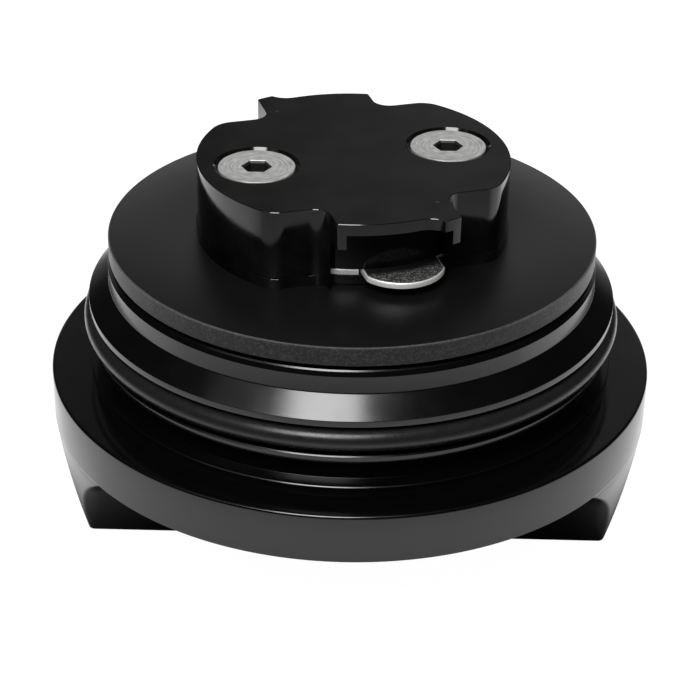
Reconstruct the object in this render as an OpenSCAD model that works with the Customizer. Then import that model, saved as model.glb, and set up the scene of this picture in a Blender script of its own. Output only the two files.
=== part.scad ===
// Billet oil filler cap with a bayonet key, standing on its grip with the key up.
// Millimetres, +Z up, origin at the middle of the grip's flat end.

/* [Flange] */
// Diameter of the flange
flange_d = 80; // [74:0.5:90]
// Height of the flange's straight wall
flange_h = 6.35; // [4:0.05:9]
// Radius of the flange's upper outer edge
flange_edge_r = 0.65; // [0.2:0.05:1.5]

/* [Grip] */
// Height of the grip below the flange
grip_h = 14.85; // [12:0.05:22]
// Mean angle that the grip's ends lean in from the flange's wall
grip_lean = 11.2; // [4:0.1:16]
// Radius of the bulge on the grip's ends
grip_side_r = 107; // [60:1:200]
// Width of the grip bar at its flat end
bar_w = 27.3; // [16:0.1:32]
// Width of the grip bar where it meets the flange
bar_root_w = 51.8; // [40:0.2:60]
// Radius of the finger scoops
scoop_r = 28; // [24:0.5:60]
// Chamfer round the grip's flat end
grip_edge = 0.5; // [0.2:0.1:1]

/* [Neck] */
// Diameter of the foot land that stands on the flange
foot_land_d = 69.6; // [68:0.1:72]
// Height of the foot land
foot_land_h = 1; // [0.6:0.1:2.5]
// Diameter at the bottom of the relief groove
relief_d = 65.6; // [60:0.1:67]
// Width of the relief groove
relief_w = 3.2; // [2:0.1:4.5]
// Diameter of the land under the ring groove
lower_land_d = 68.8; // [68:0.1:71]
// Height of the land under the ring groove
lower_land_h = 1; // [0.6:0.05:2]
// Width of the ring groove
ring_groove_w = 4.15; // [3.4:0.05:5.5]
// Diameter of the land over the ring groove
upper_land_d = 69.3; // [68:0.1:71]
// Height of the land over the ring groove
upper_land_h = 0.85; // [0.6:0.05:2]
// Height of the lead-in cone
cone_h = 2.55; // [1.5:0.05:4]
// Diameter of the spigot above the cone
spigot_d = 64.7; // [60:0.1:67]
// Height of the spigot's wall
spigot_h = 3.3; // [2:0.1:6]
// Chamfer on the spigot's upper edge
spigot_edge = 0.45; // [0.2:0.05:0.8]
// Chamfer on the edges of the lands
land_edge = 0.2; // [0.1:0.05:0.3]

/* [Sealing ring] */
// Diameter of the sealing ring's round section
ring_section_d = 2.9; // [2.6:0.1:3.3]
// Depth of the ring groove below its upper land
ring_groove_depth = 2.2; // [1.8:0.05:2.6]

/* [Gasket] */
// Thickness of the flat gasket
gasket_t = 2.55; // [2:0.05:3.6]
// Inset of the gasket's rim from the spigot's wall
gasket_inset = 0.55; // [0.1:0.05:1.5]

/* [Boss] */
// Diameter of the boss that carries the key
boss_d = 32; // [30:0.1:34]
// Height of the boss above the gasket
boss_rise = 1.3; // [0.8:0.1:2]

/* [Lock spring] */
// Thickness of the spring plate
spring_t = 0.8; // [0.4:0.05:1]
// Width of the spring's tongues
tongue_w = 9.9; // [7:0.1:10.6]
// Offset of each tongue from the middle of its lug
tongue_shift = 2; // [0:0.05:2.2]
// Reach of the tongue's tip beyond the boss
tongue_reach = 5; // [3:0.1:6]
// Radius of the tongue's round tip
tongue_tip_r = 5.8; // [5.4:0.1:12]

/* [Bayonet key] */
// Width of the key's lobes beyond the boss
key_wall = 4.15; // [3.6:0.05:5]
// Amount that the key's foot stands out all round
key_foot_out = 0.2; // [0.1:0.05:0.5]
// Height of the key's foot
key_foot_h = 1.3; // [0.8:0.1:2]
// Height of the key above the gasket
key_h = 10.3; // [9:0.1:14]
// Width of the key across its two flats
key_flat_w = 28.2; // [25:0.1:29]
// Radius of the corners between lobe and flat
key_corner_r = 3.5; // [1:0.1:4]
// Turn of the key from the line of the grip
key_turn = 17.5; // [0:0.5:45]

/* [Lugs] */
// Amount that the lug's face stands out beyond the lobes
lug_out = 0.1; // [0:0.05:0.6]
// Distance from the lug's middle to its plain end
lug_plain_side = 7.35; // [6.6:0.05:8]
// Distance from the lug's middle to its hooked end
lug_hook_side = 7.5; // [7:0.05:8.4]
// Height of the lug over its end legs
lug_h = 3.4; // [2.8:0.1:4.6]
// Thickness of the lug's lip between its legs
lip_t = 1.5; // [1.2:0.1:2.4]
// Width of the lug's end legs
leg_w = 1.1; // [0.8:0.1:2]
// Amount that the hook's tip stands out beyond the lobes
hook_out = 1.8; // [1:0.1:2.4]
// Width of the hook
hook_w = 2.2; // [1.4:0.05:3]
// Radius of the inner corners beside a lug
lug_fillet = 2.5; // [0.5:0.1:2.8]

/* [Screws] */
// Distance from a screw's middle in to the boss's wall
screw_inset = 3.2; // [3:0.05:4.5]
// Diameter of the screw's shank
screw_d = 5; // [4:0.5:5]
// Diameter of the countersunk head
head_d = 9.8; // [9:0.1:10.6]
// Height of the straight rim of the head
head_rim = 0.2; // [0.1:0.05:0.4]
// Depth of the head below the key's top
head_sink = 0.15; // [0.05:0.05:0.6]
// Length of the screw with its head
screw_len = 16; // [14:1:20]
// Width across flats of the hexagon socket
socket_af = 3; // [2.5:0.5:4]
// Depth of the hexagon socket
socket_depth = 2; // [1.5:0.1:2.4]

/* [Fits] */
// Clearance round the screw's shank in the key and the spring
shank_gap = 0.25; // [0.1:0.05:0.4]
// Clearance of the screw in its tapped hole
thread_gap = 0.05; // [0.02:0.01:0.1]
// Clearance of parts that locate on the boss
boss_gap = 0.1; // [0.05:0.05:0.2]
// Clearance under a countersunk head and inside the sealing ring
seat_gap = 0.02; // [0.01:0.01:0.05]

/* [Hidden] */
$fn = 96;

// Heights above the surface that the cap stands on
flange_top = grip_h + flange_h;
relief_z = flange_top + foot_land_h;
lower_land_z = relief_z + relief_w;
groove_z = lower_land_z + lower_land_h;
upper_land_z = groove_z + ring_groove_w;
cone_z = upper_land_z + upper_land_h;
spigot_z = cone_z + cone_h;
neck_top = spigot_z + spigot_h;
gasket_top = neck_top + gasket_t;
boss_top = gasket_top + boss_rise;
spring_top = boss_top + spring_t;
key_top = gasket_top + key_h;
lug_z = key_top - lug_h;
lip_z = key_top - lip_t;
head_top = key_top - head_sink;

groove_r = upper_land_d / 2 - ring_groove_depth;
ring_r = groove_r + seat_gap + ring_section_d / 2;
gasket_d = spigot_d - 2 * gasket_inset;
grip_end_r = flange_d / 2 - grip_h * tan(grip_lean);
boss_r = boss_d / 2;
tip_r = boss_r + tongue_reach;
key_r = boss_r + key_wall;
lug_r = key_r + lug_out;
hook_r = key_r + hook_out;
screw_reach = boss_r - screw_inset;
head_cone = (head_d - screw_d) / 2;
cut = 1;
side_steps = 6;

// Middle of a scoop: the circle through the bar's edge at both ends of the grip's height
chord = [(bar_root_w - bar_w) / 2, grip_h];
rise = sqrt(pow(scoop_r, 2) - pow(norm(chord) / 2, 2));
scoop_mid = [bar_w / 2, 0] + chord / 2 + rise * [chord.y, -chord.x] / norm(chord);

// Middle of the bulge on the grip's ends, found in the same way
side_chord = [flange_d / 2 - grip_end_r, grip_h];
side_rise = sqrt(pow(grip_side_r, 2) - pow(norm(side_chord) / 2, 2));
side_mid = [grip_end_r, 0] + side_chord / 2
         + side_rise * [-side_chord.y, side_chord.x] / norm(side_chord);

// Radius of the grip's bulged ends at a height
function side_at(z) = side_mid.x + sqrt(pow(grip_side_r, 2) - pow(z - side_mid.y, 2));

// Half outline of the turned body, from the axis out and up to the boss
module body_outline() {
    r = flange_d / 2;
    foot = foot_land_d / 2;
    low = lower_land_d / 2;
    up = upper_land_d / 2;
    top = spigot_d / 2;
    side = [for (i = [0:side_steps])
        let (z = grip_edge + (grip_h - grip_edge) * i / side_steps) [side_at(z), z]];
    polygon(concat([[0, 0], [grip_end_r - grip_edge, 0]], side, [
        [r, flange_top - flange_edge_r], [r - flange_edge_r, flange_top],
        [foot, flange_top], [foot, relief_z - land_edge], [foot - land_edge, relief_z],
        [relief_d / 2, relief_z], [relief_d / 2, lower_land_z],
        [low, lower_land_z], [low, groove_z - land_edge], [low - land_edge, groove_z],
        [groove_r, groove_z], [groove_r, upper_land_z],
        [up, upper_land_z], [up, cone_z], [top, spigot_z],
        [top, neck_top - spigot_edge], [top - spigot_edge, neck_top],
        [boss_r, neck_top], [boss_r, boss_top], [0, boss_top]
    ]));
    translate([r - flange_edge_r, flange_top - flange_edge_r]) circle(flange_edge_r);
}

// One finger scoop: a round cut along the bar, under the flange only
module scoop() {
    intersection() {
        translate([-flange_d / 2 - cut, scoop_mid.x, scoop_mid.y])
            rotate([0, 90, 0])
                cylinder(r = scoop_r, h = flange_d + 2 * cut, $fn = 128);
        translate([-flange_d / 2 - cut, 0, -cut])
            cube([flange_d + 2 * cut, flange_d, grip_h + cut]);
    }
    // Chamfer along the bar's straight edge
    translate([0, bar_w / 2, 0])
        rotate([45, 0, 0])
            cube([flange_d + 2 * cut, grip_edge * sqrt(2), grip_edge * sqrt(2)], center = true);
}

// Places its children at both screws
module at_screws() {
    for (side = [0, 180])
        rotate(key_turn + side) translate([screw_reach, 0, 0]) children();
}

module cap_body() {
    color([0.03, 0.03, 0.035])
    difference() {
        rotate_extrude($fn = 180) body_outline();
        for (side = [0, 180]) rotate(side) scoop();
        at_screws()
            translate([0, 0, head_top - screw_len - cut])
                cylinder(d = screw_d + 2 * thread_gap, h = screw_len + cut, $fn = 48);
    }
}

module o_ring() {
    color([0.05, 0.05, 0.05])
    translate([0, 0, groove_z + ring_groove_w / 2])
        rotate_extrude($fn = 180)
            translate([ring_r, 0]) circle(d = ring_section_d, $fn = 48);
}

module flat_gasket() {
    color([0.09, 0.09, 0.09])
    translate([0, 0, neck_top])
        difference() {
            cylinder(d = gasket_d, h = gasket_t, $fn = 180);
            translate([0, 0, -cut])
                cylinder(r = boss_r + boss_gap, h = gasket_t + 2 * cut);
        }
}

// Outline of one tongue, pointing along -Y beside its lug's middle
module tongue_outline() {
    intersection() {
        translate([tongue_shift - tongue_w / 2, -tip_r]) square([tongue_w, tip_r]);
        union() {
            translate([tongue_shift, tongue_tip_r - tip_r]) circle(tongue_tip_r);
            translate([tongue_shift - tongue_w / 2, tongue_tip_r - tip_r])
                square([tongue_w, tip_r]);
        }
    }
}

module lock_spring() {
    color([0.62, 0.62, 0.6])
    translate([0, 0, boss_top])
        difference() {
            rotate(key_turn)
                linear_extrude(spring_t)
                    union() {
                        circle(boss_r);
                        for (side = [0, 180]) rotate(side) tongue_outline();
                    }
            at_screws()
                translate([0, 0, -cut])
                    cylinder(d = screw_d + 2 * shank_gap, h = spring_t + 2 * cut, $fn = 48);
        }
}

// Outline of the key's lobes with flats and rounded corners
module lobes_outline(grow) {
    r = key_r + grow;
    flat = key_flat_w / 2 + grow;
    c = key_corner_r;
    corner_x = sqrt(pow(r - c, 2) - pow(flat - c, 2));
    corner_angle = atan2(flat - c, corner_x);
    difference() {
        intersection() {
            circle(r);
            square([2 * r, 2 * flat], center = true);
        }
        // Cuts each sharp corner back to its round
        for (side = [0, 180], flip = [0, 1])
            rotate(side) mirror([flip, 0])
                difference() {
                    polygon([[corner_x, flat - c], [corner_x, flat + c],
                             (r + c) * [1, 1],
                             (r + c) * [cos(corner_angle), sin(corner_angle)]]);
                    translate([corner_x, flat - c]) circle(c, $fn = 48);
                }
    }
}

// Fillet in the inner corner at the origin, whose sides run along +X and +Y
module inner_corner(r) {
    difference() {
        translate([-cut / 2, -cut / 2]) square(r + cut / 2);
        translate([r, r]) circle(r, $fn = 48);
    }
}

// Strip between a lug's two ends, less an inset at each, from the axis out past the hook
module between_lug_ends(inset) {
    translate([inset - lug_plain_side, -hook_r - cut])
        square([lug_plain_side + lug_hook_side - 2 * inset, hook_r + cut]);
}

// Outline of one lug, which points along -Y, with its hook on the +X side
module lug_outline() {
    flat = key_flat_w / 2;
    intersection() {
        between_lug_ends(0);
        union() {
            circle(lug_r);
            intersection() {
                circle(hook_r);
                translate([lug_hook_side - hook_w, -hook_r]) square([hook_w, hook_r]);
            }
        }
    }
    translate([-lug_plain_side, -flat]) rotate(180) inner_corner(lug_fillet);
    translate([lug_hook_side, -flat]) rotate(-90) inner_corner(lug_fillet);
}

module key_block() {
    linear_extrude(key_foot_h) lobes_outline(key_foot_out);
    linear_extrude(key_h) lobes_outline(0);
    linear_extrude(key_h) circle(boss_r);
    linear_extrude(key_h)
        for (side = [0, 180]) rotate(side) lug_outline();
}

// Space under each lug, out from the boss, with the pocket between the lug's legs
module under_lugs() {
    difference() {
        for (side = [0, 180]) rotate(side) {
            translate([0, 0, gasket_top - cut])
                linear_extrude(lug_z - gasket_top + cut) between_lug_ends(0);
            translate([0, 0, lug_z - cut])
                linear_extrude(lip_z - lug_z + cut) between_lug_ends(leg_w);
        }
        translate([0, 0, gasket_top - 2 * cut])
            cylinder(r = boss_r, h = key_h);
    }
}

module bayonet_key() {
    color([0.03, 0.03, 0.035])
    difference() {
        translate([0, 0, gasket_top]) rotate(key_turn) key_block();
        rotate(key_turn) under_lugs();
        // Socket for the boss and the spring
        translate([0, 0, gasket_top - cut])
            cylinder(r = boss_r + boss_gap, h = spring_top - gasket_top + cut);
        at_screws() {
            translate([0, 0, gasket_top])
                cylinder(d = screw_d + 2 * shank_gap, h = key_h + cut, $fn = 48);
            countersink();
        }
    }
}

// Countersink for a screw head, open through the key's top
module countersink() {
    seat_r = head_d / 2 + seat_gap;
    tall = head_cone + seat_gap;
    translate([0, 0, head_top - head_rim - tall])
        cylinder(r1 = seat_r - tall, r2 = seat_r + head_rim + head_sink + cut,
                 h = tall + head_rim + head_sink + cut, $fn = 64);
}

module key_screw() {
    color([0.75, 0.75, 0.74])
    translate([0, 0, head_top])
        difference() {
            rotate_extrude($fn = 64)
                polygon([
                    [0, -screw_len], [screw_d / 2 - head_rim, -screw_len],
                    [screw_d / 2, head_rim - screw_len],
                    [screw_d / 2, -head_rim - head_cone],
                    [head_d / 2, -head_rim], [head_d / 2, 0], [0, 0]
                ]);
            translate([0, 0, -socket_depth])
                cylinder(d = socket_af / cos(30), h = socket_depth + cut, $fn = 6);
        }
}

module key_screw_front() {
    rotate(key_turn + 180) translate([screw_reach, 0, 0]) key_screw();
}

module key_screw_back() {
    rotate(key_turn) translate([screw_reach, 0, 0]) key_screw();
}

cap_body();
o_ring();
flat_gasket();
lock_spring();
bayonet_key();
key_screw_front();
key_screw_back();
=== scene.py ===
import math

import bmesh
import bpy
from mathutils import Matrix, Vector


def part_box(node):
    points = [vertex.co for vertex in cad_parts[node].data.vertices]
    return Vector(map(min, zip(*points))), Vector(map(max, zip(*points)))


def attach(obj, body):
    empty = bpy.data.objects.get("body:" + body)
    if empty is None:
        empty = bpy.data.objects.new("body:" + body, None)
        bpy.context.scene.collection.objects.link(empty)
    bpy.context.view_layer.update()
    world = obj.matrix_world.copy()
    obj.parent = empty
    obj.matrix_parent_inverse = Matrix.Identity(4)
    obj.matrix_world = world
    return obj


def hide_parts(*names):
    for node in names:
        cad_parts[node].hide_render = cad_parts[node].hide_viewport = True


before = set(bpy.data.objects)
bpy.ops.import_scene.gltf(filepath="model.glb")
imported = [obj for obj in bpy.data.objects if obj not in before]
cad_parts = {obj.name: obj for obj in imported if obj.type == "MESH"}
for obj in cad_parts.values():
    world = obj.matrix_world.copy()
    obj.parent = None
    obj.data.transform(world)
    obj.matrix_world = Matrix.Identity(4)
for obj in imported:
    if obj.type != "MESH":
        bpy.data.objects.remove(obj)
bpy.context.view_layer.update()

# The oil filler cap stands on its grip with the bayonet key up. Lengths are in millimetres
# here and become metres when a mesh is made. Some sizes below were read from the photograph
# later than the imported solids were made, so they differ a little from them.
MM = 0.001

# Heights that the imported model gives
NECK_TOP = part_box("flat_gasket")[0].z / MM
GASKET_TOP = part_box("flat_gasket")[1].z / MM
BOSS_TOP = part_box("lock_spring")[0].z / MM
SPRING_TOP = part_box("lock_spring")[1].z / MM
KEY_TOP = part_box("bayonet_key")[1].z / MM
HEAD_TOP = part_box("key_screw_front")[1].z / MM
SCREW_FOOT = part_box("key_screw_front")[0].z / MM
RING_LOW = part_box("o_ring")[0].z / MM
RING_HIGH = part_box("o_ring")[1].z / MM
RING_OUTER_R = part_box("o_ring")[1].x / MM
FLANGE_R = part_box("cap_body")[1].x / MM
GASKET_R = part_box("flat_gasket")[1].x / MM

# Flange and grip. FLANGE_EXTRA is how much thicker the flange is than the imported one.
GRIP_H = 14.85
FLANGE_H = 6.35
FLANGE_EXTRA = 0.28
FLANGE_TOP = GRIP_H + FLANGE_H + FLANGE_EXTRA
FLANGE_EDGE_R = 0.42
FLANGE_RIM_R = 0.2
GRIP_FLARE = math.radians(11.2)
GRIP_END_R = FLANGE_R - GRIP_H * math.tan(GRIP_FLARE)
GRIP_SIDE_R = 107.0
BAR_HALF = 13.65
BAR_ROOT_HALF = 25.0
SCOOP_R = 32.0
GRIP_CORNER_R = 0.7
GRIP_EDGE = 0.5

# Neck, from the flange up
FOOT_LAND_R = 34.8
RELIEF_R = 32.8
LOWER_LAND_R = 34.4
UPPER_LAND_R = 34.65
GROOVE_R = 32.45
SPIGOT_R = 32.0
BOSS_R = 16.0
RELIEF_Z = GRIP_H + FLANGE_H + 1.0
LOWER_LAND_Z = RELIEF_Z + 3.2
GROOVE_Z = LOWER_LAND_Z + 1.0
UPPER_LAND_Z = GROOVE_Z + 4.15
CONE_Z = UPPER_LAND_Z + 0.85
SPIGOT_Z = CONE_Z + 2.25
SPIGOT_FOOT_R = 0.25
FOOT_EDGE = 0.1
FOOT_CORNER_R = 0.02
LAND_EDGE = 0.2
BREAK_EDGE = 0.08

# The spigot's upper edge, as depths below its top and distances in from its wall: a slope, a
# narrow chamfer that glints, and a ledge beside the gasket
SLOPE_DEPTH = 1.35
LEDGE_DEPTH = 0.65
LEDGE_START = 0.5
LEDGE_END = 1.0
GLINT_W = 0.16
GLINT_CREASE = 0.015
SLOPE_STEEPNESS = 5 / 3

# Gasket
GASKET_RIM_R = 0.12
GASKET_BORE_R = 0.1

# Bayonet key
KEY_TURN = math.radians(17.5)
KEY_R = 20.15
KEY_FLAT = 14.1
KEY_CORNER_R = 3.5
KEY_EDGE = 0.07
KEY_FOOT_OUT = 0.2
KEY_FOOT_H = 1.3
KEY_FOOT_EDGE = 0.02
LUG_R = 20.25
LUG_PLAIN_SIDE = 7.6
LUG_HOOK_SIDE = 7.5
LUG_Z = KEY_TOP - 3.4
LUG_CORNER_R = 0.3
LUG_FILLET = 2.2
LIP_Z = KEY_TOP - 1.5
LEG_W = 1.1
HOOK_R = 21.95
HOOK_W = 2.2
HOOK_RAMP_R = 3.0
HOOK_TIP_R = 0.12
HOOK_CORNER_R = 0.15
BOSS_GAP = 0.1

# Screws
SCREW_REACH = 12.8
SCREW_R = 2.5
SCREW_POINT_R = 0.2
TAP_GAP = 0.05
SHANK_GAP = 0.25
HEAD_R = 4.9
HEAD_RIM = 0.45
HEAD_EDGE_R = 0.09
HEAD_GAP = 0.02
SOCKET_AF = 3.0
SOCKET_DEPTH = 2.0
SOCKET_EDGE = 0.3

# Lock spring
TONGUE_W = 10.1
TONGUE_SHIFT = 1.7
TONGUE_TIP_R = 5.65
TONGUE_REACH = 20.65
TONGUE_CORNER_R = 0.6
TONGUE_ROOT_R = 0.25
TONGUE_SLOT_W = 0.45
TONGUE_SLOT_IN = 2.5
SPRING_EDGE_R = 0.3
SPRING_FOOT_EDGE = 0.05

# Shares of bare metal: on the flange's lower rim a painted highlight, at the key's two marks wear; and the
# place of one of the two marks before the key's turn
RIM_HIGHLIGHT_METAL = 0.35
MARK_WEAR = 0.05
MARK_PLACE = (6.0, -16.0)

# Camera, from the ellipses of the turned edges in the photograph
CAMERA_TARGET_Z = GRIP_H + FLANGE_H
CAMERA_ELEVATION = 0.524368
CAMERA_TURN = math.radians(0.65)
CAMERA_DISTANCE = 266.07
CAMERA_ROLL = 0.017467
FOCAL_PIXELS = 1962.5
PHOTO_PIXELS = 700
CENTRE_PIXEL = (350.25, 349.56)
SENSOR = 36.0

# Light: what mirrors see of the floor, as (distance from the cap's axis, level), painted dark near the cap
# as its shadow and brighter in bands further out, and what they see of the room
PAINTED_FLOOR_FRONT = [(37, 0.0), (41, 0.2), (45, 0.4), (51, 0.9), (60, 1.15), (70, 1.2), (80, 1.03), (90, 1.0),
                  (94, 0.85), (97, 0.55), (108, 0.5), (135, 0.2), (200, 0.05)]
PAINTED_FLOOR_SIDES = [(38, 0.0), (46, 1.1), (60, 1.25), (75, 1.25), (115, 1.15), (140, 0.5), (200, 0.05)]
FLOOR_TO_CAMERA = 0.985
WORLD_FILL = 0.35
ROOM_IN_MIRROR = 0.02
WALL_IN_MIRROR = 1.3
HAZE_IN_MIRROR = 0.15

# Lamps: azimuth and elevation in degrees, then distance, width and height in metres, and watts
FRONT_SOFTBOX = (-104.6, 56, 0.7, 0.27, 0.38, 4.7)
LEFT_REFLECTOR = (-148, 48, 0.7, 0.24, 0.3, 0.09)
LAMP_AIM_Z = 35.0


def arc(centre, radius, start, end, steps):
    """Points along an arc, angles in radians, both ends included."""
    turns = [start + (end - start) * i / steps for i in range(steps + 1)]
    return [(centre[0] + radius * math.cos(t), centre[1] + radius * math.sin(t)) for t in turns]


def rounded(chain, closed=True, steps=4):
    """The chain of (x, y) or (x, y, corner radius) points with those corners rounded."""
    out = []
    count = len(chain)
    for i, point in enumerate(chain):
        radius = point[2] if len(point) > 2 else 0
        p = Vector(point[:2])
        if not radius or (not closed and i in (0, count - 1)):
            out.append(tuple(p))
            continue
        back = (Vector(chain[i - 1][:2]) - p).normalized()
        on = (Vector(chain[(i + 1) % count][:2]) - p).normalized()
        half = back.angle(on) / 2
        centre = p + (back + on).normalized() * (radius / math.sin(half))
        first = p + back * (radius / math.tan(half)) - centre
        last = p + on * (radius / math.tan(half)) - centre
        a = math.atan2(first.y, first.x)
        sweep = (math.atan2(last.y, last.x) - a + math.pi) % (2 * math.pi) - math.pi
        out += arc(centre, radius, a, a + sweep, steps)
    return out


def inset(outline, distance):
    """The closed outline moved in by a distance, counter-clockwise outlines shrink."""
    out = []
    count = len(outline)
    for i in range(count):
        before = Vector(outline[i]) - Vector(outline[i - 1])
        after = Vector(outline[(i + 1) % count]) - Vector(outline[i])
        n0 = Vector((-before.y, before.x)).normalized()
        n1 = Vector((-after.y, after.x)).normalized()
        mid = (n0 + n1).normalized()
        reach = distance / max(0.4, mid.dot(n0))
        out.append((outline[i][0] + mid.x * reach, outline[i][1] + mid.y * reach))
    return out


def make(name, verts, faces):
    """A mesh object in metres, from points in millimetres, with its normals outwards."""
    mesh = bpy.data.meshes.new(name)
    mesh.from_pydata([Vector(v) * MM for v in verts], [], faces)
    obj = bpy.data.objects.new(name, mesh)
    bpy.context.scene.collection.objects.link(obj)
    bm = bmesh.new()
    bm.from_mesh(mesh)
    bmesh.ops.recalc_face_normals(bm, faces=bm.faces)
    bm.to_mesh(mesh)
    bm.free()
    return obj


def lathe(name, profile, steps=360):
    """Revolves a profile of (radius, height) points. It closes on the axis, or on itself."""
    verts, rings, faces = [], [], []
    for r, z in profile:
        if r < 1e-6:
            rings.append([len(verts)] * steps)
            verts.append((0, 0, z))
            continue
        rings.append([len(verts) + i for i in range(steps)])
        verts += [(r * math.cos(2 * math.pi * i / steps), r * math.sin(2 * math.pi * i / steps), z)
                  for i in range(steps)]
    on_axis = profile[0][0] < 1e-6
    pairs = list(zip(rings, rings[1:])) if on_axis else list(zip(rings, rings[1:] + rings[:1]))
    for low, high in pairs:
        for i in range(steps):
            j = (i + 1) % steps
            face = [low[i], low[j], high[j], high[i]]
            corners = list(dict.fromkeys(face))
            if len(corners) > 2:
                faces.append(corners)
    return make(name, verts, faces)


def stack(name, levels):
    """A closed solid through outlines of equal length, each given as (outline, height)."""
    verts, faces = [], []
    count = len(levels[0][0])
    for outline, z in levels:
        verts += [(x, y, z) for x, y in outline]
    for k in range(len(levels) - 1):
        for i in range(count):
            j = (i + 1) % count
            a, b = k * count, (k + 1) * count
            faces.append([a + i, a + j, b + j, b + i])
    faces.append(list(range(count))[::-1])
    faces.append([(len(levels) - 1) * count + i for i in range(count)])
    return make(name, verts, faces)


def prism(name, outline, low, high, edge=0.0):
    """An extruded outline with both rims broken by a small chamfer."""
    if not edge:
        return stack(name, [(outline, low), (outline, high)])
    small = inset(outline, edge)
    return stack(name, [(small, low), (outline, low + edge), (outline, high - edge), (small, high)])


def combine(target, tools, operation="DIFFERENCE"):
    """Cuts the tools from the target, or joins them to it, and removes them."""
    for tool in tools:
        modifier = target.modifiers.new(operation, "BOOLEAN")
        modifier.operation = operation
        modifier.solver = "EXACT"
        modifier.object = tool
        graph = bpy.context.evaluated_depsgraph_get()
        mesh = bpy.data.meshes.new_from_object(target.evaluated_get(graph))
        target.modifiers.clear()
        old = target.data
        target.data = mesh
        bpy.data.meshes.remove(old)
        bpy.data.objects.remove(tool)
    return target


def clean(obj, angle=28.0):
    """Merges doubled points and shades smooth, apart from edges over an angle."""
    bm = bmesh.new()
    bm.from_mesh(obj.data)
    bmesh.ops.remove_doubles(bm, verts=bm.verts, dist=0.002 * MM)
    bmesh.ops.dissolve_degenerate(bm, edges=bm.edges, dist=0.001 * MM)
    bm.to_mesh(obj.data)
    bm.free()
    obj.data.name = obj.name
    obj.data.shade_smooth()
    obj.data.set_sharp_from_angle(angle=math.radians(angle))
    return obj


def turned(points, angle):
    """Points turned about the origin."""
    c, s = math.cos(angle), math.sin(angle)
    return [(c * x - s * y, s * x + c * y) for x, y in points]


def rod(name, x, y, radius, low, high, steps=64):
    """A plain round tool on a vertical axis."""
    return prism(name, arc((x, y), radius, 0, 2 * math.pi * (1 - 1 / steps), steps - 1), low, high)


def screw_places():
    """The middles of the two screws, front one first."""
    return [(SCREW_REACH * math.cos(a), SCREW_REACH * math.sin(a))
            for a in (KEY_TURN + math.pi, KEY_TURN)]


def circle_through(low, high, height, radius, side):
    """Middle (across, z) of the circle through (low, 0) and (high, height)."""
    chord = Vector((high - low, height))
    rise = side * math.sqrt(radius ** 2 - (chord.length / 2) ** 2)
    return Vector((low, 0)) + chord / 2 + rise * Vector((chord.y, -chord.x)) / chord.length


def scoop_half_width(z):
    """Half the grip bar's width at a height, from the round finger scoop."""
    mid = circle_through(BAR_HALF, BAR_ROOT_HALF, GRIP_H, SCOOP_R, 1)
    return mid.x - math.sqrt(SCOOP_R ** 2 - (z - mid.y) ** 2)


def grip_end_radius(z):
    """Radius of the grip's bulged ends at a height."""
    mid = circle_through(GRIP_END_R, FLANGE_R, GRIP_H, GRIP_SIDE_R, -1)
    return mid.x + math.sqrt(GRIP_SIDE_R ** 2 - (z - mid.y) ** 2)


def grip_outline(z, shrink=0.005):
    """Plan of the grip at a height: a circle cut by the two scoops, with rounded corners."""
    level = min(z, GRIP_H)
    r = grip_end_radius(level) - shrink
    half = scoop_half_width(level) - shrink
    limit = math.asin(half / r)
    end = arc((0, 0), r, -limit, limit, 40)
    side = [(x * r * math.cos(limit), half) for x in (0.5, 0, -0.5)]
    half_turn = [(*end[0], GRIP_CORNER_R), *end[1:-1], (*end[-1], GRIP_CORNER_R), *side]
    chain = half_turn + [(-p[0], -p[1], *p[2:]) for p in half_turn]
    return rounded(chain, steps=6)


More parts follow.
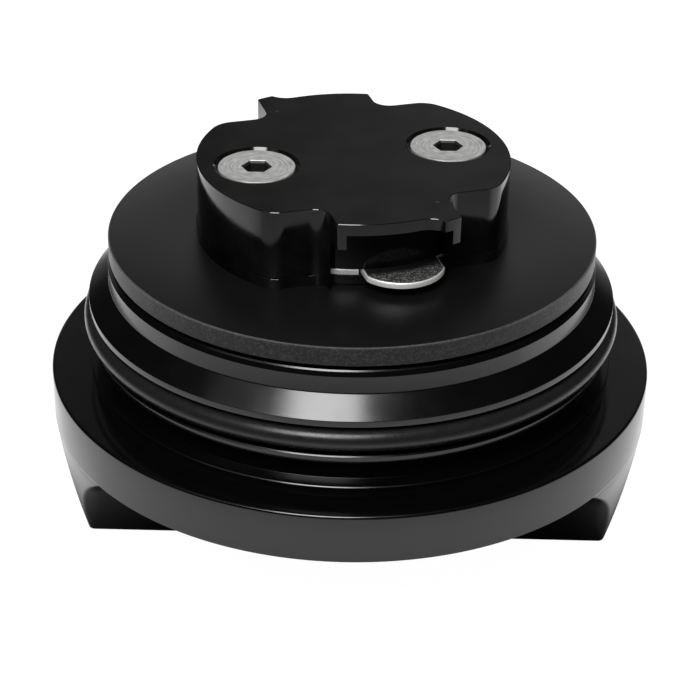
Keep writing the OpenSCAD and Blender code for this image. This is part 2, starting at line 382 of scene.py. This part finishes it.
def cap_body():
    """The turned body with its scooped grip, joined into one solid."""
    glint_in, glint_depth = LEDGE_START - GLINT_W, LEDGE_DEPTH + GLINT_W
    profile = rounded([
        (0, GRIP_H), (FLANGE_R, GRIP_H, FLANGE_RIM_R),
        (FLANGE_R, FLANGE_TOP, FLANGE_EDGE_R), (FOOT_LAND_R, FLANGE_TOP),
        (FOOT_LAND_R, RELIEF_Z - FOOT_EDGE, FOOT_CORNER_R),
        (FOOT_LAND_R - FOOT_EDGE, RELIEF_Z, FOOT_CORNER_R),
        (RELIEF_R, RELIEF_Z, BREAK_EDGE), (RELIEF_R, LOWER_LAND_Z, BREAK_EDGE),
        (LOWER_LAND_R, LOWER_LAND_Z, BREAK_EDGE),
        (LOWER_LAND_R, GROOVE_Z - LAND_EDGE, BREAK_EDGE / 2),
        (LOWER_LAND_R - LAND_EDGE, GROOVE_Z, BREAK_EDGE / 2),
        (GROOVE_R, GROOVE_Z, BREAK_EDGE), (GROOVE_R, UPPER_LAND_Z, BREAK_EDGE),
        (UPPER_LAND_R, UPPER_LAND_Z, BREAK_EDGE), (UPPER_LAND_R, CONE_Z, BREAK_EDGE),
        (SPIGOT_R, SPIGOT_Z, SPIGOT_FOOT_R), (SPIGOT_R, NECK_TOP - SLOPE_DEPTH),
        # Two close points hold the shading of the slope away from the chamfer
        (SPIGOT_R - glint_in + GLINT_CREASE, NECK_TOP - glint_depth - GLINT_CREASE * SLOPE_STEEPNESS),
        (SPIGOT_R - glint_in, NECK_TOP - glint_depth),
        (SPIGOT_R - glint_in - GLINT_CREASE, NECK_TOP - glint_depth + GLINT_CREASE),
        (SPIGOT_R - LEDGE_START, NECK_TOP - LEDGE_DEPTH), (SPIGOT_R - LEDGE_END, NECK_TOP - LEDGE_DEPTH),
        (SPIGOT_R - LEDGE_END, NECK_TOP),
        (BOSS_R, NECK_TOP), (BOSS_R, BOSS_TOP, BREAK_EDGE), (0, BOSS_TOP)], closed=False, steps=6)
    body = lathe("turned_cap_body", profile)
    rim = [GRIP_EDGE * (1 - math.cos(a * math.pi / 12)) for a in range(6)]
    levels = [(grip_outline(z, GRIP_EDGE - math.sqrt(GRIP_EDGE ** 2 - (GRIP_EDGE - z) ** 2)), z)
              for z in rim]
    levels += [(grip_outline(z), z) for z in
               [GRIP_EDGE + (GRIP_H - GRIP_EDGE) * k / 24 for k in range(25)]]
    levels.append((grip_outline(GRIP_H), GRIP_H + 0.4))
    grip = stack("grip_tool", levels)
    combine(body, [grip], "UNION")
    holes = [rod("hole", x, y, SCREW_R + TAP_GAP, SCREW_FOOT - 1, BOSS_TOP + 1)
             for x, y in screw_places()]
    return clean(combine(body, holes))


def o_ring():
    """The round rubber ring."""
    radius = (RING_HIGH - RING_LOW) / 2
    middle = (RING_OUTER_R - radius, (RING_HIGH + RING_LOW) / 2)
    profile = arc(middle, radius, 0, 2 * math.pi * 47 / 48, 47)
    return clean(lathe("sealing_ring", profile), 60)


def flat_gasket():
    """The thick flat rubber ring."""
    inner = BOSS_R + BOSS_GAP
    profile = rounded([(inner, NECK_TOP, GASKET_BORE_R), (GASKET_R, NECK_TOP, GASKET_RIM_R),
                       (GASKET_R, GASKET_TOP, GASKET_RIM_R), (inner, GASKET_TOP, GASKET_BORE_R)])
    return clean(lathe("rubber_gasket", profile), 60)


def spring_outline():
    """The spring plate: a disc with one tongue under each lug."""
    left = TONGUE_SHIFT - TONGUE_W / 2
    right = TONGUE_SHIFT + TONGUE_W / 2
    start = math.atan2(-math.sqrt(BOSS_R ** 2 - right ** 2), right)
    end = math.atan2(-math.sqrt(BOSS_R ** 2 - left ** 2), left) + math.pi
    tip_mid = (TONGUE_SHIFT, TONGUE_TIP_R - TONGUE_REACH)
    spread = math.asin(TONGUE_W / 2 / TONGUE_TIP_R)
    tip = arc(tip_mid, TONGUE_TIP_R, -math.pi / 2 - spread, -math.pi / 2 + spread, 24)
    disc = arc((0, 0), BOSS_R, start, end, 60)
    tongue = [(*tip[0], TONGUE_CORNER_R), *tip[1:-1], (*tip[-1], TONGUE_CORNER_R)]
    half = [(*disc[0], TONGUE_ROOT_R), *disc[1:-1], (*disc[-1], TONGUE_ROOT_R)]
    # The disc's run ends where the far tongue starts, so each half is a tongue and a run
    chain = tongue + half
    return rounded(chain + [(-p[0], -p[1], *p[2:]) for p in chain])


def tongue_slots():
    """Tools that free each tongue from the plate, one on either side of it."""
    left, right = TONGUE_SHIFT - TONGUE_W / 2, TONGUE_SHIFT + TONGUE_W / 2
    inner, outer = TONGUE_SLOT_IN - BOSS_R, -BOSS_R - 0.6
    slots = []
    for side in (0, math.pi):
        for x0, x1 in ((left - TONGUE_SLOT_W, left - 0.02), (right + 0.02, LUG_HOOK_SIDE + 0.4)):
            slot = [(x0, outer), (x1, outer), (x1, inner), (x0, inner)]
            slots.append(prism("slot", turned(slot, KEY_TURN + side), BOSS_TOP - 1, SPRING_TOP + 1))
    return slots


def lock_spring():
    """The flat steel plate between boss and key, with a rounded upper edge."""
    plan = turned(spring_outline(), KEY_TURN)
    levels = [(inset(plan, SPRING_FOOT_EDGE), BOSS_TOP), (plan, BOSS_TOP + SPRING_FOOT_EDGE)]
    for k in range(5):
        a = k * math.pi / 8
        outline = inset(plan, SPRING_EDGE_R * (1 - math.cos(a))) if k else plan
        levels.append((outline, SPRING_TOP - SPRING_EDGE_R * (1 - math.sin(a))))
    plate = stack("spring_plate", levels)
    holes = [rod("hole", x, y, SCREW_R + SHANK_GAP, BOSS_TOP - 1, SPRING_TOP + 1)
             for x, y in screw_places()]
    return clean(combine(plate, holes + tongue_slots()), 40)


def lobe_side(grow=0.0):
    """Outline of the lobe on the +X side, from flat to flat with its rounded corners."""
    r, flat, c = KEY_R + grow, KEY_FLAT + grow, KEY_CORNER_R
    mid = (math.sqrt((r - c) ** 2 - (flat - c) ** 2), flat - c)
    turn = math.atan2(mid[1], mid[0])
    low = arc((mid[0], -mid[1]), c, -math.pi / 2, -turn, 12)
    high = arc(mid, c, turn, math.pi / 2, 12)
    return low + arc((0, 0), r, -turn, turn, 48)[1:-1] + high


def lobes_outline(grow=0.0):
    """Plan of the key's two lobes between their flats."""
    half = lobe_side(grow)
    return half + [(-x, -y) for x, y in half]


def hook_ramp():
    """The hollow ramp from a lug's face to the tip of its hook, and where it starts."""
    step_x = LUG_HOOK_SIDE - HOOK_W
    tip = Vector((step_x, -math.sqrt(HOOK_R ** 2 - step_x ** 2)))
    reach = LUG_R + HOOK_RAMP_R
    turn = math.acos((reach ** 2 + HOOK_R ** 2 - HOOK_RAMP_R ** 2) / (2 * reach * HOOK_R))
    way = math.atan2(tip.y, tip.x) - turn
    mid = Vector((reach * math.cos(way), reach * math.sin(way)))
    end = math.atan2(tip.y - mid.y, tip.x - mid.x)
    return arc(mid, HOOK_RAMP_R, way + math.pi, end, 12)


def key_outline():
    """Plan of the key with its two lugs, hooks included."""
    def run(radius, x0, x1, steps):
        a0 = math.atan2(-math.sqrt(radius ** 2 - x0 ** 2), x0)
        a1 = math.atan2(-math.sqrt(radius ** 2 - x1 ** 2), x1)
        return arc((0, 0), radius, a0, a1, steps)

    ramp = hook_ramp()
    face = run(LUG_R, -LUG_PLAIN_SIDE, ramp[0][0], 20)
    hook = run(HOOK_R, ramp[-1][0], LUG_HOOK_SIDE, 4)
    half = [(-LUG_PLAIN_SIDE, -KEY_FLAT, LUG_FILLET), (*face[0], LUG_CORNER_R), *face[1:], *ramp[1:-1],
            (*hook[0], HOOK_TIP_R), *hook[1:-1], (*hook[-1], HOOK_CORNER_R),
            (LUG_HOOK_SIDE, -KEY_FLAT, LUG_FILLET), *lobe_side()]
    return rounded(half + [(-p[0], -p[1], *p[2:]) for p in half], steps=10)


def bayonet_key():
    """The milled key: lobes down to the gasket, and windowed lugs beside them."""
    key = prism("milled_key", turned(key_outline(), KEY_TURN), GASKET_TOP, KEY_TOP, KEY_EDGE)
    foot = prism("foot", turned(lobes_outline(KEY_FOOT_OUT), KEY_TURN),
                 GASKET_TOP + 0.003, GASKET_TOP + KEY_FOOT_H, KEY_FOOT_EDGE)
    combine(key, [foot], "UNION")
    reach = 26.0
    tools = []
    for side in (0, math.pi):
        for name, low, high, in_by in (("gap", GASKET_TOP - 2, LUG_Z, -0.004),
                                       ("pocket", LUG_Z - 1, LIP_Z, LEG_W)):
            left, right = in_by - LUG_PLAIN_SIDE, LUG_HOOK_SIDE - in_by
            wall = arc((0, 0), BOSS_R, math.atan2(-math.sqrt(BOSS_R ** 2 - left ** 2), left),
                       math.atan2(-math.sqrt(BOSS_R ** 2 - right ** 2), right), 40)
            outline = wall + [(right, -reach), (left, -reach)]
            tools.append(prism(name, turned(outline, KEY_TURN + side), low, high))
    tools.append(rod("socket", 0, 0, BOSS_R + BOSS_GAP, GASKET_TOP - 3, SPRING_TOP, 200))
    for x, y in screw_places():
        tools.append(rod("hole", x, y, SCREW_R + SHANK_GAP, SPRING_TOP - 1, KEY_TOP + 1))
        tall = HEAD_R - SCREW_R
        low, high = HEAD_TOP - HEAD_RIM - tall, KEY_TOP + 0.5
        ring = arc((x, y), 1, 0, 2 * math.pi * 95 / 96, 95)

        def grown(radius):
            return [(x + (px - x) * radius, y + (py - y) * radius) for px, py in ring]

        seat = HEAD_R - tall + HEAD_GAP
        tools.append(stack("countersink", [(grown(seat), low), (grown(seat + high - low), high)]))
    return clean(combine(key, tools))


def hexagon(radius):
    """A regular hexagon with corners on the given radius."""
    return arc((0, 0), radius, 0, 2 * math.pi * 5 / 6, 5)


def key_screw(name, place):
    """A countersunk screw with a hexagon socket."""
    tall = HEAD_R - SCREW_R
    profile = rounded([
        (0, SCREW_FOOT), (SCREW_R, SCREW_FOOT, SCREW_POINT_R), (SCREW_R, HEAD_TOP - HEAD_RIM - tall),
        (HEAD_R, HEAD_TOP - HEAD_RIM, 0.05), (HEAD_R, HEAD_TOP, HEAD_EDGE_R), (0, HEAD_TOP)],
        closed=False)
    screw = lathe(name, profile, 128)
    across = SOCKET_AF / math.cos(math.radians(30)) / 2
    socket = prism("socket", hexagon(across), HEAD_TOP - SOCKET_DEPTH, HEAD_TOP + 1)
    mouth = across + SOCKET_EDGE
    chamfer = stack("mouth", [(hexagon(mouth + d), HEAD_TOP + d) for d in (-0.4, 0.4)])
    combine(screw, [socket, chamfer])
    screw.data.transform(Matrix.Translation(Vector((place[0], place[1], 0)) * MM))
    return clean(screw, 25)


class Shader:
    """A material's nodes, added and linked in few words."""

    def __init__(self, name):
        self.material = bpy.data.materials.new(name)
        self.material.use_nodes = True
        self.tree = self.material.node_tree
        self.tree.nodes.clear()
        self.out = self.tree.nodes.new("ShaderNodeOutputMaterial")

    def node(self, kind, settings=None, **inputs):
        """A new node. Inputs are given by name, or by number as i0, i1 and so on."""
        made = self.tree.nodes.new("ShaderNode" + kind)
        for key, value in (settings or {}).items():
            setattr(made, key, value)
        for key, value in inputs.items():
            self.put(made, key, value)
        return made

    def put(self, made, key, value):
        """Links a socket to an input, or sets the input's value."""
        name = int(key[1:]) if key.startswith("i") and key[1:].isdigit() else key.replace("_", " ")
        if isinstance(value, bpy.types.NodeSocket):
            self.tree.links.new(value, made.inputs[name])
        else:
            made.inputs[name].default_value = value

    def maths(self, operation, a, b=0.0, c=0.0):
        """The result of a Math node."""
        return self.node("Math", {"operation": operation}, i0=a, i1=b, i2=c).outputs[0]

    def ramp(self, value, low, high, to_low, to_high):
        """Maps a value's range to another one."""
        return self.node("MapRange", None, Value=value, From_Min=low, From_Max=high,
                         To_Min=to_low, To_Max=to_high).outputs[0]

    def soft_step(self, value, low, high, to_low, to_high):
        """Maps a value's range to another one, smoothly at both ends."""
        return self.node("MapRange", {"interpolation_type": "SMOOTHSTEP"}, Value=value, From_Min=low,
                         From_Max=high, To_Min=to_low, To_Max=to_high).outputs[0]

    def levels(self, value, stops):
        """Follows (value, level) stops by straight lines."""
        out = stops[0][1]
        for (low, from_level), (high, to_level) in zip(stops, stops[1:]):
            out = self.maths("ADD", out, self.ramp(value, low, high, 0.0, to_level - from_level))
        return out

    def tint(self, value, dark, light):
        """A colour between two, by a value from 0 to 1. A grey is given as one number."""
        mix = self.node("Mix", {"data_type": "RGBA"}, Factor=value)
        for place, colour in ((6, dark), (7, light)):
            red, green, blue = colour if isinstance(colour, tuple) else (colour, colour, colour)
            mix.inputs[place].default_value = (red, green, blue, 1)
        return mix.outputs[2]

    def blend(self, factor, first, second):
        """One colour over another one, by a factor from 0 to 1."""
        mix = self.node("Mix", {"data_type": "RGBA"}, Factor=factor)
        self.tree.links.new(first, mix.inputs[6])
        self.tree.links.new(second, mix.inputs[7])
        return mix.outputs[2]

    def noise(self, vector, scale, detail=3.0, roughness=0.55):
        """Noise from 0 to 1, its scale in features per millimetre."""
        return self.node("TexNoise", None, Vector=vector, Scale=scale, Detail=detail,
                         Roughness=roughness).outputs["Fac"]

    def place(self):
        """Object coordinates in millimetres."""
        where = self.node("TexCoord").outputs["Object"]
        return self.node("VectorMath", {"operation": "SCALE"}, i0=where, Scale=1 / MM).outputs[0]

    def round_place(self, centre=(0, 0)):
        """(radius, height, a little of the angle) about a vertical axis, in millimetres."""
        where = self.node("VectorMath", {"operation": "SUBTRACT"}, i0=self.place(),
                          i1=(centre[0], centre[1], 0)).outputs[0]
        parts = self.node("SeparateXYZ", None, Vector=where)
        flat = self.node("CombineXYZ", None, X=parts.outputs[0], Y=parts.outputs[1]).outputs[0]
        radius = self.node("VectorMath", {"operation": "LENGTH"}, i0=flat).outputs["Value"]
        angle = self.maths("ARCTAN2", parts.outputs[1], parts.outputs[0])
        return self.node("CombineXYZ", None, X=radius, Y=parts.outputs[2],
                         Z=self.maths("MULTIPLY", angle, 0.6)).outputs[0]

    def bump(self, height, strength, distance):
        """A normal disturbed by a height, its distance in millimetres."""
        return self.node("Bump", None, Height=height, Strength=strength,
                         Distance=distance * MM).outputs[0]

    def finish(self, shader):
        """Links the shader to the output and gives the material."""
        self.tree.links.new(shader.outputs[0], self.out.inputs[0])
        return self.material


def anodised(name, turned_finish):
    """Black anodised aluminium, with the tool's fine rings or a milled grain."""
    s = Shader(name)
    place = s.place()
    rings = s.round_place()
    grain = s.noise(rings if turned_finish else place, 9.0 if turned_finish else 2.5, 4.0, 0.6)
    cloud = s.noise(place, 0.12, 3.0)
    if turned_finish:
        lightest, low, high = (0.0035, 0.0035, 0.0037), 0.13, 0.17
        # The flange's lower rim is painted as bright bare metal, a painted highlight line
        bare = painted_flange_rim_highlight(s)
    else:
        lightest, low, high = (0.008, 0.008, 0.0082), 0.07, 0.12
        cloud = s.ramp(cloud, 0.4, 0.62, 0.0, 1.0)
        bare = witness_marks(s, place)
    colour = s.tint(s.maths("MULTIPLY", grain, cloud), 0.001, lightest)
    # Bare metal: a painted highlight on the body's rim, wear at the key's two marks
    colour = s.blend(bare, colour, s.tint(grain, 0.45, 0.8))
    rough = s.ramp(s.noise(place, 0.35, 4.0), 0.3, 0.7, low, high)
    shader = s.node("BsdfPrincipled", None, Base_Color=colour, Roughness=rough, Metallic=bare,
                    Normal=s.bump(grain, 0.25, 0.004))
    shader.inputs["IOR"].default_value = 1.5
    if turned_finish:
        shader.inputs["Anisotropic"].default_value = 0.75
        tangent = s.node("Tangent", {"direction_type": "RADIAL", "axis": "Z"})
        s.put(shader, "Tangent", tangent.outputs[0])
    return s.finish(shader)


def painted_flange_rim_highlight(s):
    """Share of bare metal on the flange's lower rim: a painted highlight, a bright band that stands in for
    the rim's glint.
    """
    parts = s.node("SeparateXYZ", None, Vector=s.round_place())
    low = s.ramp(parts.outputs[1], GRIP_H + 0.1, GRIP_H + 0.16, RIM_HIGHLIGHT_METAL, 0.0)
    high = s.ramp(parts.outputs[1], GRIP_H - 0.06, GRIP_H - 0.02, 0.0, 1.0)
    out = s.ramp(parts.outputs[0], FLANGE_R - 0.25, FLANGE_R - 0.2, 0.0, 1.0)
    return s.maths("MULTIPLY", s.maths("MULTIPLY", low, high), out)


def witness_marks(s, place):
    """Share of bare metal: the two small marks near the key's hooks."""
    total = 0.0
    for side in (1, -1):
        x, y = turned([(MARK_PLACE[0] * side, MARK_PLACE[1] * side)], KEY_TURN)[0]
        measure = s.node("VectorMath", {"operation": "DISTANCE"}, i0=place, i1=(x, y, KEY_TOP))
        total = s.maths("ADD", total, s.ramp(measure.outputs["Value"], 0.12, 0.3, MARK_WEAR, 0.0))
    return total


def ring_rubber():
    """Smooth black nitrile."""
    s = Shader("ring_rubber")
    place = s.place()
    fine = s.noise(place, 6.0, 4.0)
    colour = s.tint(fine, 0.008, 0.015)
    rough = s.ramp(s.noise(place, 0.8, 2.0), 0.3, 0.7, 0.24, 0.34)
    shader = s.node("BsdfPrincipled", None, Base_Color=colour, Roughness=rough,
                    Normal=s.bump(fine, 0.3, 0.01))
    shader.inputs["IOR"].default_value = 1.43
    return s.finish(shader)


def gasket_rubber():
    """Matte rubber sheet with a grainy skin, a pitted cut edge and a speckled highlight painted along its
    upper rim.
    """
    s = Shader("gasket_rubber")
    place = s.place()
    skin = s.noise(place, 5.0, 5.0, 0.7)
    pits = s.noise(place, 2.6, 4.0, 0.75)
    cloud = s.noise(place, 0.12, 3.0)
    tone = s.maths("MULTIPLY_ADD", skin, 0.6, s.maths("MULTIPLY", cloud, 0.4))
    top_colour = s.tint(tone, 0.0015, 0.006)
    parts = s.node("SeparateXYZ", None, Vector=s.round_place())
    at_edge = s.ramp(parts.outputs[0], GASKET_R - 0.2, GASKET_R - 0.05, 0.0, 1.0)
    near_top = s.ramp(parts.outputs[1], GASKET_TOP - 0.3, GASKET_TOP - 0.1, 0.0, 1.0)
    # The upper rim is painted light, speckled by the pits: a painted highlight line
    painted_gasket_highlight = s.maths("MULTIPLY", at_edge, near_top)
    edge_colour = s.tint(s.ramp(pits, 0.48, 0.66, 0.0, 1.0), 0.0, 0.04)
    colour = s.blend(at_edge, top_colour, edge_colour)
    colour = s.blend(painted_gasket_highlight, colour, s.tint(pits, 0.0, 0.14))
    height = s.maths("ADD", skin, s.maths("MULTIPLY", at_edge, s.maths("MULTIPLY", pits, 14.0)))
    return s.finish(s.node("BsdfPrincipled", None, Base_Color=colour, Roughness=0.36,
                           Normal=s.bump(height, 0.5, 0.03)))


def spring_steel():
    """Plated spring steel: a dark face with bright specks, painted shade where it runs in under the key,
    and an edge painted near white as its highlight.
    """
    s = Shader("spring_steel")
    place = s.place()
    grain = s.noise(place, 5.0, 5.0, 0.75)
    specks = s.ramp(grain, 0.5, 0.68, 0.0, 1.0)
    face = s.tint(specks, 0.03, (0.65, 0.65, 0.63))
    # The edge is painted near white: a painted highlight
    edge = s.tint(s.ramp(grain, 0.35, 0.65, 0.0, 1.0), (0.75, 0.75, 0.74), (1.0, 1.0, 0.98))
    height = s.node("SeparateXYZ", None, Vector=place).outputs[2]
    on_face = s.ramp(height, SPRING_TOP - 0.06, SPRING_TOP - 0.01, 0.0, 1.0)
    radius = s.node("SeparateXYZ", None, Vector=s.round_place()).outputs[0]
    # Painted shade: the face darkens towards the key's wall, where the lugs shade it
    unshaded_share = s.soft_step(radius, BOSS_R + 0.9, BOSS_R + 2.2, 0.06, 1.0)
    painted_shade_colour = s.tint(grain, 0.0, 0.02)
    colour = s.blend(s.maths("MULTIPLY", on_face, unshaded_share), s.blend(on_face, edge, painted_shade_colour), face)
    rough = s.ramp(grain, 0.3, 0.7, 0.55, 0.38)
    shader = s.node("BsdfPrincipled", None, Base_Color=colour, Roughness=rough, Metallic=0.5,
                    Normal=s.bump(grain, 0.7, 0.04))
    return s.finish(shader)


def screw_steel(name, place):
    """Bright turned stainless steel, ringed about the screw's own axis, with painted shade that darkens
    its socket.
    """
    s = Shader(name)
    around = s.round_place(place)
    parts = s.node("SeparateXYZ", None, Vector=around)
    rings = s.noise(around, 4.0, 4.0)
    bright = s.tint(s.ramp(rings, 0.3, 0.7, 0.0, 1.0), (0.4, 0.4, 0.39), (0.8, 0.8, 0.78))
    # Painted shade: the hexagon socket is coloured nearly black
    painted_socket_shade = s.maths("MULTIPLY", s.ramp(parts.outputs[0], 2.1, 2.2, 1.0, 0.0),
                        s.ramp(parts.outputs[1], HEAD_TOP - 0.08, HEAD_TOP - 0.04, 1.0, 0.0))
    colour = s.blend(painted_socket_shade, bright, s.tint(rings, 0.02, 0.04))
    rough = s.ramp(rings, 0.3, 0.7, 0.45, 0.58)
    shader = s.node("BsdfPrincipled", None, Base_Color=colour, Roughness=rough, Metallic=0.6,
                    Normal=s.bump(rings, 0.3, 0.01))
    return s.finish(shader)


def dress(piece, node, material):
    """Puts a piece in the place of its CAD node."""
    piece.data.materials.clear()
    piece.data.materials.append(material)
    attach(piece, "root")
    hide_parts(node)


def make_camera():
    """The photograph's view, as a fitted pinhole camera."""
    data = bpy.data.cameras.new("photo_camera")
    camera = bpy.data.objects.new("photo_camera", data)
    bpy.context.scene.collection.objects.link(camera)
    target = Vector((0, 0, CAMERA_TARGET_Z)) * MM
    flat = math.cos(CAMERA_ELEVATION)
    back = Vector((math.sin(CAMERA_TURN) * flat, -math.cos(CAMERA_TURN) * flat,
                   math.sin(CAMERA_ELEVATION)))
    right = Vector((math.cos(CAMERA_TURN), math.sin(CAMERA_TURN), 0))
    up = back.cross(right)
    c, s = math.cos(CAMERA_ROLL), math.sin(CAMERA_ROLL)
    x_axis = c * right + s * up
    y_axis = c * up - s * right
    turn = Matrix((x_axis, y_axis, back)).transposed().to_4x4()
    camera.matrix_world = Matrix.Translation(target + back * CAMERA_DISTANCE * MM) @ turn
    data.sensor_width = SENSOR
    data.lens = FOCAL_PIXELS / PHOTO_PIXELS * SENSOR
    data.shift_x = 0.5 - CENTRE_PIXEL[0] / PHOTO_PIXELS
    data.shift_y = CENTRE_PIXEL[1] / PHOTO_PIXELS - 0.5
    data.clip_start, data.clip_end = 0.01, 20
    bpy.context.scene.camera = camera


def ray_kinds(s):
    """1 for rays from the camera, and 1 for rays from a mirror or glass."""
    path = s.node("LightPath")
    mirror = s.maths("MAXIMUM", path.outputs["Is Glossy Ray"], path.outputs["Is Transmission Ray"])
    return path.outputs["Is Camera Ray"], mirror


def make_floor():
    """A pale floor that shows white, darker only in the cap's soft shadow; to mirrors it glows with
    painted levels, dark near the cap as a painted shadow.
    """
    bpy.ops.mesh.primitive_plane_add(size=6, location=(0, 0, -0.00005))
    floor = bpy.context.object
    floor.name = "studio_floor"
    s = Shader("studio_floor")
    where = s.node("TexCoord").outputs["Object"]
    away = s.node("VectorMath", {"operation": "LENGTH"}, i0=where).outputs["Value"]
    camera, mirror = ray_kinds(s)
    radius = s.maths("MULTIPLY", away, 1 / MM)
    forward = s.maths("DIVIDE", s.node("SeparateXYZ", None, Vector=where).outputs[1], away)
    aside = s.soft_step(forward, -0.75, -0.2, 0.0, 1.0)
    sides = s.maths("MULTIPLY", aside, s.levels(radius, PAINTED_FLOOR_SIDES))
    level = s.maths("MAXIMUM", s.levels(radius, PAINTED_FLOOR_FRONT), sides)
    # Mirrors see the painted levels: a painted shadow near the cap and painted bright bands
    painted_mirror_floor = s.maths("MULTIPLY", mirror, level)
    seen = s.maths("MULTIPLY_ADD", camera, FLOOR_TO_CAMERA, painted_mirror_floor)
    lit = s.node("BsdfDiffuse", None, Color=(0.12, 0.12, 0.12, 1))
    glow = s.node("Emission", None, Color=(1, 1, 1, 1), Strength=seen)
    both = s.node("AddShader")
    s.tree.links.new(lit.outputs[0], both.inputs[0])
    s.tree.links.new(glow.outputs[0], both.inputs[1])
    floor.data.materials.append(s.finish(both))


def make_world():
    """Even soft light, white to the camera and a dim room to a mirror."""
    world = bpy.data.worlds.new("studio")
    bpy.context.scene.world = world
    world.use_nodes = True
    s = Shader.__new__(Shader)
    s.tree = world.node_tree
    s.tree.nodes.clear()
    out = s.tree.nodes.new("ShaderNodeOutputWorld")
    way = s.node("SeparateXYZ", None, Vector=s.node("TexCoord").outputs["Generated"])
    low = s.soft_step(way.outputs[2], 0.12, 0.36, WALL_IN_MIRROR, 0.0)
    ahead = s.soft_step(way.outputs[1], 0.87, 0.95, 0.0, 1.0)
    room = s.maths("MULTIPLY_ADD", low, ahead, ROOM_IN_MIRROR)
    haze = s.maths("MULTIPLY", s.soft_step(way.outputs[0], -0.12, 0.06, 0.4, 1.0),
                   s.soft_step(way.outputs[2], 0.2, 0.42, 0.0, HAZE_IN_MIRROR))
    haze = s.maths("MULTIPLY", haze, s.soft_step(way.outputs[1], 0.5, 0.8, 0.0, 1.0))
    camera, mirror = ray_kinds(s)
    soft = s.node("Mix", None, Factor=mirror, A=WORLD_FILL, B=s.maths("ADD", room, haze)).outputs[0]
    strength = s.node("Mix", None, Factor=camera, A=soft, B=1.0).outputs[0]
    glow = s.node("Background", None, Color=(1, 1, 1, 1), Strength=strength)
    s.tree.links.new(glow.outputs[0], out.inputs[0])


def make_softbox(name, azimuth, elevation, distance, width, height, power):
    """An area lamp that faces the cap from a direction given in degrees."""
    data = bpy.data.lights.new(name, "AREA")
    data.shape = "RECTANGLE"
    data.size, data.size_y = width, height
    data.energy = power
    lamp = bpy.data.objects.new(name, data)
    bpy.context.scene.collection.objects.link(lamp)
    a, e = math.radians(azimuth), math.radians(elevation)
    way = Vector((math.cos(a) * math.cos(e), math.sin(a) * math.cos(e), math.sin(e)))
    lamp.location = Vector((0, 0, LAMP_AIM_Z * MM)) + way * distance
    lamp.rotation_mode = "QUATERNION"
    lamp.rotation_quaternion = way.to_track_quat("Z", "Y")


def make_pieces():
    """Every piece of the cap, each in the place of its CAD node."""
    body_metal = anodised("anodised_turned", True)
    key_metal = anodised("anodised_milled", False)
    dress(cap_body(), "cap_body", body_metal)
    dress(o_ring(), "o_ring", ring_rubber())
    dress(flat_gasket(), "flat_gasket", gasket_rubber())
    dress(lock_spring(), "lock_spring", spring_steel())
    dress(bayonet_key(), "bayonet_key", key_metal)
    for side, place in zip(("front", "back"), screw_places()):
        dress(key_screw("screw_" + side, place), "key_screw_" + side,
              screw_steel("screw_steel_" + side, place))


make_camera()
make_pieces()
make_floor()
make_world()
make_softbox("front_softbox", *FRONT_SOFTBOX)
make_softbox("left_reflector", *LEFT_REFLECTOR)
bpy.context.scene.view_settings.view_transform = "Standard"
